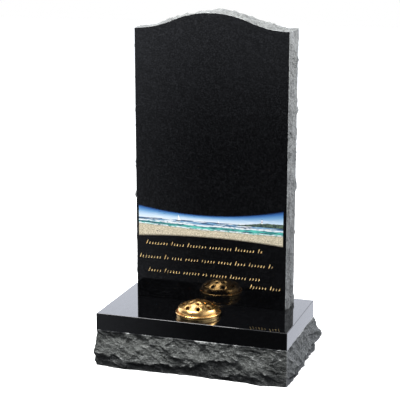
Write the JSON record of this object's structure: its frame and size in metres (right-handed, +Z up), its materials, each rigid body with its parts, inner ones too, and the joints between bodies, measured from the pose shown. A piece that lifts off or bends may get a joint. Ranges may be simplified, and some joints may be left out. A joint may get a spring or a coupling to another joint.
{
  "type": "headstone",
  "caption": "Upright granite headstone with an ogee top on a rock-pitched base, with a flower container and pierced lid set in front.",
  "frame": {"origin": "middle of the base's flat underside", "axes": "+Z up, -Y towards the viewer of the polished face, +X to that viewer's right"},
  "size_m": [0.6448, 0.3785, 1.0926],
  "materials": {
    "granite_base": "black granite, polished top and upper band, rock-pitched lower faces that show grey",
    "granite_tablet": "black granite, polished face, rock-pitched sides and top, sawn back",
    "gold_metal": "polished, gold-coloured spun metal"
  },
  "bodies": {
    "root": {"headstone_base": "granite_base", "headstone_tablet": "granite_tablet", "flower_pot": "gold_metal", "flower_lid": "gold_metal"}
  },
  "joints": []
}
